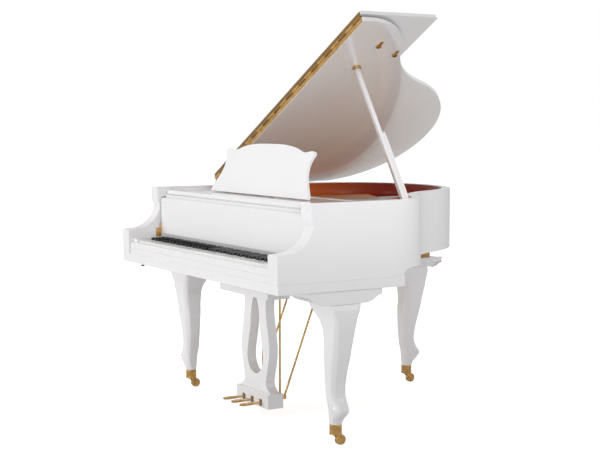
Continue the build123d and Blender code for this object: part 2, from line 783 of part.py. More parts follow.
def make_lid_fittings():
    """Half-round cup that takes the stick's tip, and two catches, screwed to the lid's underside."""
    foot, along, pin, across, length, fold = prop_frame()
    a = radians(lid_angle)
    normal = Vector(-sin(a), 0, cos(a))
    tip = foot + along * length + pin * (prop_thickness / 2)
    spot = tip + normal * prop_tip_gap
    spot = spot - normal * ((spot - Vector(*on_lid(0, 0))).dot(normal))
    open_side = (across - normal * across.dot(normal)).normalized()
    plane = Plane(origin=spot, x_dir=open_side, z_dir=-normal)
    ring = Cylinder(20, 12) - Cylinder(15, 12) - Pos(33, 0, 0) * Box(70, 60, 20)
    add("lid_fittings", (plane.location * Pos(0, 0, 6) * ring).solid())
    for s, y in ((1329, 694), (1265, 817)):
        x, z = s - half, lid_bottom
        strip = block(x + 8, x + 34, y - 7, y + 7, z - 3, z)
        catch = Pos(x, y, z - 4) * Cylinder(11, 8) + strip - Pos(x, y, z - 4) * Cylinder(6, 9)
        add("lid_fittings", raise_lid(catch.solid()))


# ================= legs and casters =================
def smooth_side(points, place):
    """Spline through (height, offset) points, placed by a function of both."""
    return Spline(*[place(z, v) for z, v in points]).edge()


def leg_profile(low, high, place):
    """Closed profile between two smooth sides, given from the top down."""
    a = smooth_side(low, place)
    b = smooth_side(high, place)
    top = Line(place(*low[0]), place(*high[0])).edge()
    end = Line(place(*low[-1]), place(*high[-1])).edge()
    return Face(Wire([a, b, top, end]))


def leg_shape():
    """Cabriole leg at the origin: knee and foot scroll towards +X, same section either side of Y = 0."""
    h = leg_top - socket_top
    knee = [(1.0, 74), (0.94, 88), (0.881, 90), (0.819, 88), (0.70, 76), (0.552, 61), (0.42, 43), (0.329, 34),
            (0.232, 35), (0.173, 53), (0.127, 70), (0.083, 56), (0.04, 34), (0.0, 25)]
    back = [(1.0, -94), (0.94, -98), (0.881, -71), (0.819, -46), (0.70, -36), (0.552, -41), (0.42, -42),
            (0.329, -40), (0.232, -34), (0.127, -25), (0.0, -23)]
    flank = [(1.0, 77), (0.94, 69), (0.881, 60), (0.819, 55), (0.70, 50), (0.552, 45), (0.42, 40), (0.329, 37),
             (0.232, 35), (0.152, 32), (0.08, 30), (0.0, 24)]

    def rows(points, sign=1):
        return [(socket_top + share * h, sign * v) for share, v in points]

    side = leg_profile(rows(back), rows(knee), lambda z, v: (v, -120, z))
    front = leg_profile(rows(flank, -1), rows(flank), lambda z, v: (-120, v, z))
    return (Solid.extrude(side, Vector(0, 240, 0)) & Solid.extrude(front, Vector(260, 0, 0))).solid()


def plate_shape(length, width):
    """Leg plate below the case, long along X, its two ends rising in an ogee."""
    z0, z1 = leg_top, bed_bottom
    a, b = length / 2, length / 2 - 70
    lift = (z0 + z1) / 2
    points = [(-b, z0), (b, z0), (b + 26, z0 + 8), (a - 16, lift), (a, lift + 4), (a, z1), (-a, z1), (-a, lift + 4),
              (-a + 16, lift), (-b - 26, z0 + 8)]
    return prism_y(points, -width / 2, width / 2)


leg_places = {
    "treble": (front_leg[0], front_leg[1], 0.0),
    "bass": (-front_leg[0], front_leg[1], 180.0),
    "rear": (rear_leg[0], rear_leg[1], 90.0),
}


def make_legs():
    leg = leg_shape()
    for name, (x, y, turn) in leg_places.items():
        add("leg_" + name, leg.rotate(Axis.Z, turn).translate(Vector(x, y, 0)))
        if name == "rear":
            add("leg_" + name, plate_shape(300, 200).translate(Vector(x, y, 0)))
        else:
            inner = (half - 4) * (1 if x > 0 else -1)
            plate = plate_shape(348, leg_plate_width).rotate(Axis.Z, 90)
            middle = inner - leg_plate_width / 2 * (1 if x > 0 else -1)
            add("leg_" + name, plate.translate(Vector(middle, y - 6, 0)))
        make_caster(name, x, y)


def make_caster(name, x, y):
    """Brass socket, swivel fork and wheel that trails behind the stem."""
    stem = 5.0
    top = socket_bottom + 30
    socket = Pos(x, y, (socket_top + socket_bottom) / 2) * Cylinder(socket_radius, socket_top - socket_bottom)
    socket = socket - bar((x, y, socket_bottom - 1), (x, y, top + 2), stem + 0.05)
    add("caster_sockets", socket.solid())
    wy, wz = y + caster_trail, wheel_radius
    cheek = wheel_width / 2 + 0.5
    crown = socket_bottom - 0.3
    fork = bar((x, y, crown - 1), (x, y, top), stem)
    pieces = [bar((x, y, crown - 4), (x, y, crown), 16)]
    for side in (-1, 1):
        x0, x1 = sorted((x + side * cheek, x + side * (cheek + 3)))
        cheek_shape = [(y - 9, crown - 1), (y + 11, crown - 1), (wy + 7, wz + 5), (wy + 3, wz - 7), (wy - 6, wz - 5)]
        arm = prism_x(cheek_shape, x0, x1)
        pieces.append(arm)
    pieces.append(bar((x - cheek - 3, wy, wz), (x + cheek + 3, wy, wz), axle_radius))
    add("caster_fork_" + name, fork.fuse(*pieces).solid())
    half_width = wheel_width / 2
    tyre = bar((x - half_width, wy, wz), (x + half_width, wy, wz), wheel_radius)
    tyre = tyre - bar((x - half_width, wy, wz), (x + half_width, wy, wz), axle_radius + 0.05)
    add("caster_wheel_" + name, tyre.solid())


# ================= lyre and pedals =================
def make_lyre():
    outer = [(1.0, 104), (0.93, 98), (0.84, 98), (0.66, 112), (0.42, 128), (0.24, 112), (0.1, 97), (0.0, 95)]
    hole = [(0.93, 22), (0.84, 34), (0.66, 44), (0.45, 66), (0.34, 72), (0.24, 58)]
    base = pedal_box_bottom + pedal_box_height
    h = lyre_top - base
    y0 = lyre_face

    def place(z, v):
        return (v, y0, z)

    def rows(points, sign):
        return [(base + share * h, sign * v) for share, v in points]

    body = Solid.extrude(leg_profile(rows(outer, -1), rows(outer, 1), place), Vector(0, lyre_depth, 0))
    left = smooth_side(rows(hole, -1), place)
    right = smooth_side(rows(hole, 1), place)
    top = ThreePointArc(place(*rows(hole, -1)[0]), place(base + 0.97 * h, 0), place(*rows(hole, 1)[0])).edge()
    low = ThreePointArc(place(*rows(hole, -1)[-1]), place(base + 0.17 * h, 0), place(*rows(hole, 1)[-1])).edge()
    opening = Solid.extrude(Face(Wire([left, right, top, low])), Vector(0, lyre_depth, 0))
    foot = prism_y([(-142, base), (142, base), (124, base + 10), (106, base + 24), (98, base + 44), (-98, base + 44),
                    (-106, base + 24), (-124, base + 10)], y0, y0 + lyre_depth)
    add("lyre", (body.fuse(foot).solid() - opening).solid())
    add("lyre", block(-222, 222, 255, 366, lyre_top, lyre_top + 28))
    add("lyre", block(-200, 200, 262, 366, lyre_top + 28, bed_bottom))


pedal_pivot = (pedal_box_front + pedal_box_depth / 2, pedal_level)
pedals = {"soft": -1, "sostenuto": 0, "damper": 1}


def make_pedals():
    y0, y1 = pedal_box_front, pedal_box_front + pedal_box_depth
    z0, z1 = pedal_box_bottom, pedal_box_bottom + pedal_box_height
    box = block(-pedal_box_half, pedal_box_half, y0, y1, z0, z1)
    slot = pedal_width / 2 + 2.5
    py, pz = pedal_pivot
    for place in pedals.values():
        x = place * pedal_spacing
        box = box - block(x - slot, x + slot, y0 - 1, y1 + 1, pz - 15, pz + 15)
    pin = bar((-pedal_spacing - slot, py, pz), (pedal_spacing + slot, py, pz), hinge_pin_radius)
    add("pedal_box", (box + pin).solid())
    for name, place in pedals.items():
        x = place * pedal_spacing
        w = pedal_width / 2
        toe = y0 - pedal_reach
        tail = rod_y + 12
        side = [(0.5, toe), (1.05, toe + 5), (1.35, toe + 22), (1.2, toe + 48), (0.8, toe + 82), (0.7, y0 - 4),
                (0.7, tail)]
        shape = [(x - w * share, y) for share, y in side] + [(x + w * share, y) for share, y in reversed(side)]
        plate = prism_z(shape, pz - 4, pz + 4) + bar((x - w * 0.9, py, pz), (x + w * 0.9, py, pz), 8)
        add("pedal_" + name, (plate - bar((x - 20, py, pz), (x + 20, py, pz), hinge_pin_radius + 0.05)).solid())
        add("pedal_rod_" + name, bar((x, rod_y, pz + 4.7), (x, rod_y, bed_bottom - 9), rod_radius))
    for side in (-1, 1):
        bx = side * brace_x
        end = y1 + brace_setback
        shoe = block(bx - 8, bx + 8, y1, end + 6, brace_height - 10, brace_height + 8)
        rod = bar((bx, end, brace_height), (bx, brace_top_y, bed_bottom + 10), rod_radius)
        rod = rod - block(bx - 20, bx + 20, brace_top_y - 50, brace_top_y + 30, bed_bottom, bed_bottom + 40)
        add("lyre_braces", (rod + shoe).solid())


for build in (make_rim, make_beams, make_key_bed, make_soundboard, make_plate, make_strings, make_bridges,
              make_keys, make_key_frame, make_action, make_dampers, make_fallboard, make_shelf, make_desk,
              make_desk_strut, make_lid, make_flap_hinge, make_spine_hinges, make_prop, make_lid_fittings,
              make_legs, make_lyre, make_pedals):
    build()

# The part's own frame has its origin on the floor below the middle of the whole object's box.
outermost = ("outer_rim", "lid", "front_flap", "rim_hinge_leaves")
boxes = [solid.bounding_box() for name in outermost for solid in nodes[name]]
middle_x = (min(box.min.X for box in boxes) + max(box.max.X for box in boxes)) / 2
middle_y = (min(box.min.Y for box in boxes) + max(box.max.Y for box in boxes)) / 2
origin_shift = Vector(-middle_x, -middle_y, 0)

os.makedirs("parts", exist_ok=True)
for name, solids in nodes.items():
    shifted = [solid.translate(origin_shift) for solid in solids]
    export_step(shifted[0] if len(shifted) == 1 else Compound(children=shifted), "parts/" + name + ".step")
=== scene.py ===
import bmesh
import bpy
import json
import math
import numpy as np
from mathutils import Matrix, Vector


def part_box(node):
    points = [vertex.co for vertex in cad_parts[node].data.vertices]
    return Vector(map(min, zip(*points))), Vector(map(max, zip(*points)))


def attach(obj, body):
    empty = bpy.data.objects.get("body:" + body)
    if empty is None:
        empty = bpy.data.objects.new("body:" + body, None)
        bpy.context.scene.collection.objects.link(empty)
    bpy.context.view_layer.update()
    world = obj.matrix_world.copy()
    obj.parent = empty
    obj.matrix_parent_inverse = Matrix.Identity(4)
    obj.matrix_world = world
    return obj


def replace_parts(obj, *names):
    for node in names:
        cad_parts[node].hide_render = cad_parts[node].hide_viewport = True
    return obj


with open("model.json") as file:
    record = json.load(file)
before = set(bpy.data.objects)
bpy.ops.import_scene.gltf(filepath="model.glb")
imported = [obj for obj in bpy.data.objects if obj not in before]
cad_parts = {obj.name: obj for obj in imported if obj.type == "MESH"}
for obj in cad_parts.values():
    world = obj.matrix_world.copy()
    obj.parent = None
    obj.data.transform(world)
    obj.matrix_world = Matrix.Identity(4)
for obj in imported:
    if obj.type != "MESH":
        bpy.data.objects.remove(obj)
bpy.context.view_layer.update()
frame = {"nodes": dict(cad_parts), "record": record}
NODES = frame["nodes"]
RECORD = frame["record"]
SLOT = {part["node"]: part["material_slot"] for part in RECORD["subparts"]}
BODY = {node: body for body, nodes in RECORD["behaviour"]["bodies"].items() for node in nodes}
JOINT = {joint["name"]: joint for joint in RECORD["behaviour"]["joints"]}

# Working origin: middle of the case, arms' front faces, floor.
rim_low, rim_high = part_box("outer_rim")
CENTRE = np.array([(rim_low.x + rim_high.x) / 2, rim_low.y, 0.0])
HALF = (rim_high.x - rim_low.x) / 2


# ================= shader groups =================
def new_group(name, inputs, outputs):
    """Empty shader group with float, colour and vector sockets given as name: (kind, value)."""
    group = bpy.data.node_groups.new(name, "ShaderNodeTree")
    kinds = {"float": "NodeSocketFloat", "colour": "NodeSocketColor", "vector": "NodeSocketVector"}
    for label, (kind, value) in inputs.items():
        socket = group.interface.new_socket(label, in_out="INPUT", socket_type=kinds[kind])
        if value is not None:
            socket.default_value = value
    for label, kind in outputs.items():
        group.interface.new_socket(label, in_out="OUTPUT", socket_type=kinds[kind])
    return group, group.nodes.new("NodeGroupInput"), group.nodes.new("NodeGroupOutput")


def add_node(tree, kind, values=None, **settings):
    """Shader node with its settings, and values for its inputs by name or number."""
    node = tree.nodes.new(kind)
    for key, value in settings.items():
        setattr(node, key, value)
    for key, value in (values or {}).items():
        node.inputs[key].default_value = value
    return node


def make_mottle_group():
    """Slow cloudy change of shade: two octaves of noise pulled to a set contrast."""
    inputs = {"Scale": ("float", 4.0), "Contrast": ("float", 1.0)}
    group, start, end = new_group("cloudy_mottle", inputs, {"Mask": "float"})
    link = group.links.new
    place = add_node(group, "ShaderNodeTexCoord")
    noise = add_node(group, "ShaderNodeTexNoise", {"Detail": 5.0, "Roughness": 0.6})
    spread = add_node(group, "ShaderNodeMath", {1: 0.5}, operation="SUBTRACT")
    gain = add_node(group, "ShaderNodeMath", operation="MULTIPLY")
    lift = add_node(group, "ShaderNodeMath", {1: 0.5}, operation="ADD", use_clamp=True)
    link(place.outputs["Object"], noise.inputs["Vector"])
    link(start.outputs["Scale"], noise.inputs["Scale"])
    link(noise.outputs["Fac"], spread.inputs[0])
    link(spread.outputs[0], gain.inputs[0])
    link(start.outputs["Contrast"], gain.inputs[1])
    link(gain.outputs[0], lift.inputs[0])
    link(lift.outputs[0], end.inputs["Mask"])
    return group


def make_wear_group():
    """Rubbed edges: the mesh's convex edges, broken up by noise."""
    inputs = {"Amount": ("float", 0.5), "Break": ("float", 60.0)}
    group, start, end = new_group("rubbed_edges", inputs, {"Mask": "float"})
    link = group.links.new
    shape = add_node(group, "ShaderNodeNewGeometry")
    place = add_node(group, "ShaderNodeTexCoord")
    sharp = add_node(group, "ShaderNodeMapRange", {"From Min": 0.52, "From Max": 0.62})
    noise = add_node(group, "ShaderNodeTexNoise", {"Detail": 3.0})
    both = add_node(group, "ShaderNodeMath", operation="MULTIPLY")
    amount = add_node(group, "ShaderNodeMath", operation="MULTIPLY", use_clamp=True)
    link(shape.outputs["Pointiness"], sharp.inputs["Value"])
    link(place.outputs["Object"], noise.inputs["Vector"])
    link(start.outputs["Break"], noise.inputs["Scale"])
    link(sharp.outputs["Result"], both.inputs[0])
    link(noise.outputs["Fac"], both.inputs[1])
    link(both.outputs[0], amount.inputs[0])
    link(start.outputs["Amount"], amount.inputs[1])
    link(amount.outputs[0], end.inputs["Mask"])
    return group


def make_grain_group():
    """Wood grain: noise drawn out along one axis, with fine pores over broad bands."""
    inputs = {"Stretch": ("vector", (1.0, 8.0, 30.0)), "Scale": ("float", 3.0),
              "Light": ("colour", (0.8, 0.6, 0.3, 1)), "Dark": ("colour", (0.4, 0.2, 0.1, 1))}
    group, start, end = new_group("wood_grain", inputs, {"Color": "colour", "Height": "float"})
    link = group.links.new
    place = add_node(group, "ShaderNodeTexCoord")
    pull = add_node(group, "ShaderNodeVectorMath", operation="MULTIPLY")
    bands = add_node(group, "ShaderNodeTexNoise", {"Detail": 6.0, "Roughness": 0.55, "Distortion": 0.8})
    pores = add_node(group, "ShaderNodeTexNoise", {"Detail": 2.0, "Roughness": 0.7})
    finer = add_node(group, "ShaderNodeMath", {1: 7.0}, operation="MULTIPLY")
    mix = add_node(group, "ShaderNodeMath", {1: 0.65}, operation="MULTIPLY")
    blend = add_node(group, "ShaderNodeMath", {1: 0.35, 2: 0.0}, operation="MULTIPLY_ADD")
    curve = add_node(group, "ShaderNodeMapRange", {"From Min": 0.36, "From Max": 0.64})
    tint = add_node(group, "ShaderNodeMix", data_type="RGBA")
    link(place.outputs["Object"], pull.inputs[0])
    link(start.outputs["Stretch"], pull.inputs[1])
    link(pull.outputs[0], bands.inputs["Vector"])
    link(pull.outputs[0], pores.inputs["Vector"])
    link(start.outputs["Scale"], bands.inputs["Scale"])
    link(start.outputs["Scale"], finer.inputs[0])
    link(finer.outputs[0], pores.inputs["Scale"])
    link(bands.outputs["Fac"], mix.inputs[0])
    link(pores.outputs["Fac"], blend.inputs[0])
    link(mix.outputs[0], blend.inputs[2])
    link(blend.outputs[0], curve.inputs["Value"])
    link(curve.outputs["Result"], tint.inputs["Factor"])
    link(start.outputs["Light"], tint.inputs["A"])
    link(start.outputs["Dark"], tint.inputs["B"])
    link(tint.outputs["Result"], end.inputs["Color"])
    link(pores.outputs["Fac"], end.inputs["Height"])
    return group


MOTTLE = make_mottle_group()
WEAR = make_wear_group()
GRAIN = make_grain_group()


# ================= materials =================
def start_material(name, **values):
    """Material with a Principled shader whose constant sockets are set on it directly."""
    material = bpy.data.materials.new(name)
    material.use_nodes = True
    tree = material.node_tree
    shader = tree.nodes["Principled BSDF"]
    for key, value in values.items():
        shader.inputs[key.replace("_", " ")].default_value = value
    return material, tree, shader


def use_group(tree, group, **values):
    """Copy of a shared shader group with values for its inputs."""
    node = tree.nodes.new("ShaderNodeGroup")
    node.node_tree = group
    for key, value in values.items():
        node.inputs[key].default_value = value
    return node


def two_tone(tree, mask, first, second):
    """Colour between two tones by a mask."""
    mix = add_node(tree, "ShaderNodeMix", data_type="RGBA")
    tree.links.new(mask, mix.inputs["Factor"])
    mix.inputs["A"].default_value = (*first, 1)
    mix.inputs["B"].default_value = (*second, 1)
    return mix.outputs["Result"]


def ranged(tree, mask, low, high):
    """Value that runs from low to high with a mask."""
    node = add_node(tree, "ShaderNodeMapRange", {"To Min": low, "To Max": high})
    tree.links.new(mask, node.inputs["Value"])
    return node.outputs["Result"]


def bumped(tree, shader, height, strength, distance):
    """Fine relief on a shader from a height value."""
    node = add_node(tree, "ShaderNodeBump", {"Strength": strength, "Distance": distance})
    tree.links.new(height, node.inputs["Height"])
    tree.links.new(node.outputs["Normal"], shader.inputs["Normal"])


def lacquer(name, colour, shade, roughness=(0.10, 0.20), coat=1.0):
    """Poured polyester: glossy clear coat over a slightly clouded colour, with a faint surface ripple."""
    material, tree, shader = start_material(name, Coat_Weight=coat, Coat_Roughness=0.03, Coat_IOR=1.5)
    link = tree.links.new
    cloud = use_group(tree, MOTTLE, Scale=2.5, Contrast=1.4)
    smear = use_group(tree, MOTTLE, Scale=14.0, Contrast=2.0)
    wear = use_group(tree, WEAR, Amount=0.35, Break=90.0)
    tone = two_tone(tree, cloud.outputs["Mask"], colour, shade)
    worn = add_node(tree, "ShaderNodeMix", data_type="RGBA")
    link(wear.outputs["Mask"], worn.inputs["Factor"])
    link(tone, worn.inputs["A"])
    worn.inputs["B"].default_value = (*[0.82 * c for c in colour], 1)
    link(worn.outputs["Result"], shader.inputs["Base Color"])
    link(ranged(tree, smear.outputs["Mask"], *roughness), shader.inputs["Roughness"])
    ripple = use_group(tree, MOTTLE, Scale=22.0, Contrast=1.0)
    bumped(tree, shader, ripple.outputs["Mask"], 0.04, 0.0006)
    return material


def metal(name, colour, tarnish, roughness=(0.12, 0.32), scale=40.0, wear=0.5, metallic=1.0):
    """Polished metal with cloudy tarnish, finger-dulled patches and brighter rubbed edges."""
    material, tree, shader = start_material(name, Metallic=metallic)
    link = tree.links.new
    cloud = use_group(tree, MOTTLE, Scale=scale, Contrast=2.2)
    fine = use_group(tree, MOTTLE, Scale=scale * 9, Contrast=1.6)
    rubbed = use_group(tree, WEAR, Amount=wear, Break=scale * 4)
    tone = two_tone(tree, cloud.outputs["Mask"], colour, tarnish)
    edge = add_node(tree, "ShaderNodeMix", data_type="RGBA")
    link(rubbed.outputs["Mask"], edge.inputs["Factor"])
    link(tone, edge.inputs["A"])
    edge.inputs["B"].default_value = (*[min(1.0, 1.15 * c + 0.03) for c in colour], 1)
    link(edge.outputs["Result"], shader.inputs["Base Color"])
    link(ranged(tree, cloud.outputs["Mask"], *roughness), shader.inputs["Roughness"])
    bumped(tree, shader, fine.outputs["Mask"], 0.08, 0.0002)
    return material


def wood(name, light, dark, stretch, scale=3.0, roughness=(0.28, 0.45), coat=0.3, shaded_tail=False):
    """Varnished timber with grain along the least stretched axis, and painted shade that can darken and
    redden it towards the tail.
    """
    coating = {"Coat_Weight": coat, "Coat_Roughness": 0.12, "Specular_IOR_Level": 0.2}
    material, tree, shader = start_material(name, **coating)
    link = tree.links.new
    grain = use_group(tree, GRAIN, Scale=scale, Stretch=stretch, Light=(*light, 1), Dark=(*dark, 1))
    cloud = use_group(tree, MOTTLE, Scale=6.0, Contrast=1.5)
    tone = grain.outputs["Color"]
    # Painted shade: the colour runs to a dark red towards the tail, along the object's Y.
    if shaded_tail:
        spot = add_node(tree, "ShaderNodeTexCoord")
        split = add_node(tree, "ShaderNodeSeparateXYZ")
        along = add_node(tree, "ShaderNodeMapRange", {"From Min": -0.1, "From Max": 0.62})
        tail_shade = add_node(tree, "ShaderNodeMix", data_type="RGBA")
        link(spot.outputs["Object"], split.inputs[0])
        link(split.outputs["Y"], along.inputs["Value"])
        link(along.outputs["Result"], tail_shade.inputs["Factor"])
        link(tone, tail_shade.inputs["A"])
        tail_shade.inputs["B"].default_value = (*TAIL_SHADE_COLOUR, 1)
        tone = tail_shade.outputs["Result"]
    link(tone, shader.inputs["Base Color"])
    link(ranged(tree, cloud.outputs["Mask"], *roughness), shader.inputs["Roughness"])
    bumped(tree, shader, grain.outputs["Height"], 0.12, 0.0004)
    return material


def felt(name, colour, shade):
    """Pressed wool: soft sheen over a fibrous bump."""
    material, tree, shader = start_material(name, Roughness=0.95, Sheen_Weight=0.6, Sheen_Roughness=0.5)
    fibre = use_group(tree, MOTTLE, Scale=900.0, Contrast=2.5)
    tree.links.new(two_tone(tree, fibre.outputs["Mask"], colour, shade), shader.inputs["Base Color"])
    bumped(tree, shader, fibre.outputs["Mask"], 0.5, 0.0006)
    return material


def wound_copper():
    """Copper winding: fine turns round the string, seen as a bump along its length."""
    material, tree, shader = start_material("copper_winding", Metallic=1.0)
    place = add_node(tree, "ShaderNodeTexCoord")
    turns = add_node(tree, "ShaderNodeTexWave", {"Scale": 260.0, "Distortion": 0.3}, bands_direction="Y")
    cloud = use_group(tree, MOTTLE, Scale=25.0, Contrast=2.0)
    tree.links.new(place.outputs["Object"], turns.inputs["Vector"])
    tone = two_tone(tree, cloud.outputs["Mask"], (0.78, 0.38, 0.20), (0.50, 0.23, 0.12))
    tree.links.new(tone, shader.inputs["Base Color"])
    tree.links.new(ranged(tree, cloud.outputs["Mask"], 0.25, 0.45), shader.inputs["Roughness"])
    bumped(tree, shader, turns.outputs["Fac"], 0.5, 0.0004)
    return material


# Dark red of the painted shade towards the case's tail.
TAIL_SHADE_COLOUR = (0.25, 0.028, 0.014)
FINISH = {
    "white_lacquer": lacquer("white_polyester", (0.905, 0.90, 0.905), (0.87, 0.862, 0.875)),
    "brass": metal("polished_brass", (0.88, 0.56, 0.20), (0.40, 0.22, 0.07), (0.08, 0.26)),
    # The amber veneer gets painted shade towards the tail.
    "case_veneer": wood("amber_veneer", (0.98, 0.26, 0.030), (0.72, 0.13, 0.012), (0.6, 0.6, 16.0), 2.2,
                        (0.25, 0.4), 0.12, True),
    "spruce": wood("spruce_board", (0.80, 0.52, 0.22), (0.62, 0.36, 0.13), (26.0, 1.0, 26.0), 2.0),
    "maple": wood("pale_maple", (0.74, 0.56, 0.36), (0.58, 0.40, 0.22), (4.0, 0.8, 14.0), 5.0),
    "gold_iron": metal("gilt_casting", (0.95, 0.55, 0.20), (0.80, 0.42, 0.13), (0.35, 0.55), 30.0, 0.3, 0.35),
    "steel": metal("bright_steel", (0.72, 0.72, 0.73), (0.50, 0.50, 0.52), (0.2, 0.4), 60.0),
    "damper_felt": lacquer("black_damper_head", (0.016, 0.016, 0.017), (0.03, 0.03, 0.03), (0.25, 0.4), 0.4),
    "white_keys": lacquer("ivory_key_top", (0.92, 0.915, 0.90), (0.88, 0.875, 0.86), (0.16, 0.3), 0.6),
    "black_keys": lacquer("black_key_cap", (0.012, 0.012, 0.013), (0.022, 0.022, 0.022), (0.22, 0.36), 0.5),
}
COPPER = wound_copper()
DARK_BRASS = metal("aged_brass", (0.42, 0.25, 0.08), (0.16, 0.08, 0.03), (0.2, 0.4), 60.0)
# Grey felt, whose grey also stands for painted shade and reflection under the fallboard's lower edge.
GREY_FELT_AND_SHADE = felt("grey_felt_and_shade", (0.50, 0.49, 0.50), (0.38, 0.375, 0.38))
for node, obj in NODES.items():
    obj.data.materials.clear()
    obj.data.materials.append(DARK_BRASS if node == "flap_hinge_leaf" else FINISH[SLOT[node]])


# ================= mesh helpers =================
def add_piece(name, points, faces, body, slot, material=None):
    """New piece from arrays of points and faces, riding on a body and finished from a slot."""
    mesh = bpy.data.meshes.new(name)
    corners = np.asarray(points, float).reshape(-1, 3).tolist()
    mesh.from_pydata(corners, [], [list(map(int, f)) for f in faces])
    mesh.update()
    piece = bpy.data.objects.new(name, mesh)
    bpy.context.collection.objects.link(piece)
    mesh.materials.append(material or FINISH[slot])
    face_outward(mesh)
    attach(piece, body)
    return piece


def face_outward(mesh):
    """Turn every face of a closed mesh outward."""
    work = bmesh.new()
    work.from_mesh(mesh)
    bmesh.ops.recalc_face_normals(work, faces=work.faces)
    work.to_mesh(mesh)
    work.free()


def smooth(piece, angle=35.0):
    """Smooth shading with edges sharper than the angle kept crisp."""
    piece.data.polygons.foreach_set("use_smooth", np.ones(len(piece.data.polygons), bool))
    piece.data.set_sharp_from_angle(angle=math.radians(angle))


def grid_faces(rows, columns, first=0):
    """Quads of a closed tube: rings of points joined in order, capped at both ends."""
    i = np.arange(rows - 1)[:, None] * columns
    j = np.arange(columns)[None, :]
    k = (j + 1) % columns
    quads = np.stack([i + j, i + k, i + columns + k, i + columns + j], -1).reshape(-1, 4) + first
    low = (np.arange(columns)[::-1] + first).tolist()
    high = (np.arange(columns) + first + (rows - 1) * columns).tolist()
    return quads.tolist() + [low, high]


def cad_mesh(node):
    """Points and triangles of a CAD node."""
    mesh = NODES[node].data
    points = np.zeros(len(mesh.vertices) * 3)
    mesh.vertices.foreach_get("co", points)
    mesh.calc_loop_triangles()
    faces = np.zeros(len(mesh.loop_triangles) * 3, int)
    mesh.loop_triangles.foreach_get("vertices", faces)
    return points.reshape(-1, 3), faces.reshape(-1, 3)


def islands(points, faces):
    """Number of the separate solid that each face belongs to: the least label spreads over shared points."""
    keys = np.round(points * 1e5).astype(np.int64)
    _, same = np.unique(keys, axis=0, return_inverse=True)
    tri = same.reshape(-1)[faces]
    label = np.arange(tri.max() + 1)
    while True:
        least = label[tri].min(1)
        new = label.copy()
        np.minimum.at(new, tri.reshape(-1), np.repeat(least, 3))
        new = new[new]
        if (new == label).all():
            return label[tri[:, 0]]
        label = new


def dressed(node, width, segments=3, material=None, pick=None, name=None, angle=30.0):
    """Merged copy of a CAD node with every sharp edge rounded, which stands for the node."""
    points, faces = cad_mesh(node)
    if pick is not None:
        labels = islands(points, faces)
        keep = np.zeros(len(faces), bool)
        for label in np.unique(labels):
            solid = points[faces[labels == label].reshape(-1)]
            if pick(solid.min(0), solid.max(0)):
                keep |= labels == label
        faces = faces[keep]
    used, index = np.unique(faces.reshape(-1), return_inverse=True)
    triangles = index.reshape(-1, 3)
    piece = add_piece(name or "dressed_" + node, points[used], triangles, BODY[node], SLOT[node], material)
    weld(piece)
    if width > 0:
        bevel = piece.modifiers.new("rounded_edges", "BEVEL")
        bevel.width = width
        bevel.segments = segments
        bevel.limit_method = "ANGLE"
        bevel.angle_limit = math.radians(angle)
        bevel.harden_normals = True
        bevel.use_clamp_overlap = True
    smooth(piece, angle)
    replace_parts(piece, node)
    return piece


def weld(piece, flat=0.6):
    """Merge doubles and join triangles that lie in one plane into whole faces."""
    work = bmesh.new()
    work.from_mesh(piece.data)
    bmesh.ops.remove_doubles(work, verts=work.verts, dist=1e-6)
    bmesh.ops.dissolve_limit(work, angle_limit=math.radians(flat), verts=work.verts, edges=work.edges)
    work.to_mesh(piece.data)
    work.free()


def place(x, y, z):
    """Point given in millimetres from the middle of the arms' front line, in metres in the frame."""
    return CENTRE + np.stack(np.broadcast_arrays(x, y, z), -1) / 1000.0


def eased(points, t):
    """Smooth curve through (t, value) points: cubic between them with slopes from their neighbours."""
    t0, v = np.array(points, float).T
    slope = np.gradient(v, t0)
    i = np.clip(np.searchsorted(t0, t) - 1, 0, len(t0) - 2)
    span = t0[i + 1] - t0[i]
    s = (t - t0[i]) / span
    a = 2 * s**3 - 3 * s**2 + 1
    b = s**3 - 2 * s**2 + s
    return a * v[i] + b * span * slope[i] + (1 - a) * v[i + 1] + (s**3 - s**2) * span * slope[i + 1]


# ================= case =================
# Width of the rounding along each piece's edges, in metres.
EDGE_ROUNDING = {
    "outer_rim": 0.0010, "key_bed": 0.0015, "key_slip": 0.003, "key_blocks_and_rail": 0.003,
    "fallboard": 0.004, "music_shelf": 0.003, "music_desk": 0.004, "lid": 0.0035, "front_flap": 0.0035,
    "prop_stick": 0.003, "short_stick": 0.003, "lyre": 0.006, "pedal_box": 0.006,
    "inner_rim": 0.001, "iron_plate": 0.003, "pin_block": 0.001, "bridges": 0.002,
    "prop_bracket": 0.0008, "lid_fittings": 0.001, "fallboard_pivots": 0.001, "desk_strut": 0.001,
    "caster_sockets": 0.0018, "lyre_braces": 0.0006,
    "pedal_soft": 0.003, "pedal_sostenuto": 0.003, "pedal_damper": 0.003,
}
CASTER_ROUNDING = 0.0008
SHARP_ROUNDING = 0.0012
NATURAL_ROUNDING = 0.0008

for node, width in EDGE_ROUNDING.items():
    dressed(node, width)
for leg in ("treble", "bass", "rear"):
    dressed("caster_fork_" + leg, CASTER_ROUNDING)
    dressed("caster_wheel_" + leg, CASTER_ROUNDING, 2)
for node in NODES:
    if node.startswith("keys_"):
        dressed(node, SHARP_ROUNDING if "sharp" in node else NATURAL_ROUNDING, 2)

LINING_THICKNESS = 0.0016
INSIDE = place(-100, 760, 0)


def turn_towards(mesh, middle):
    """Turn an open upright sheet so that its faces look at a middle line."""
    first = mesh.polygons[0]
    if (Vector(middle) - first.center).to_2d().dot(first.normal.to_2d()) < 0:
        mesh.flip_normals()


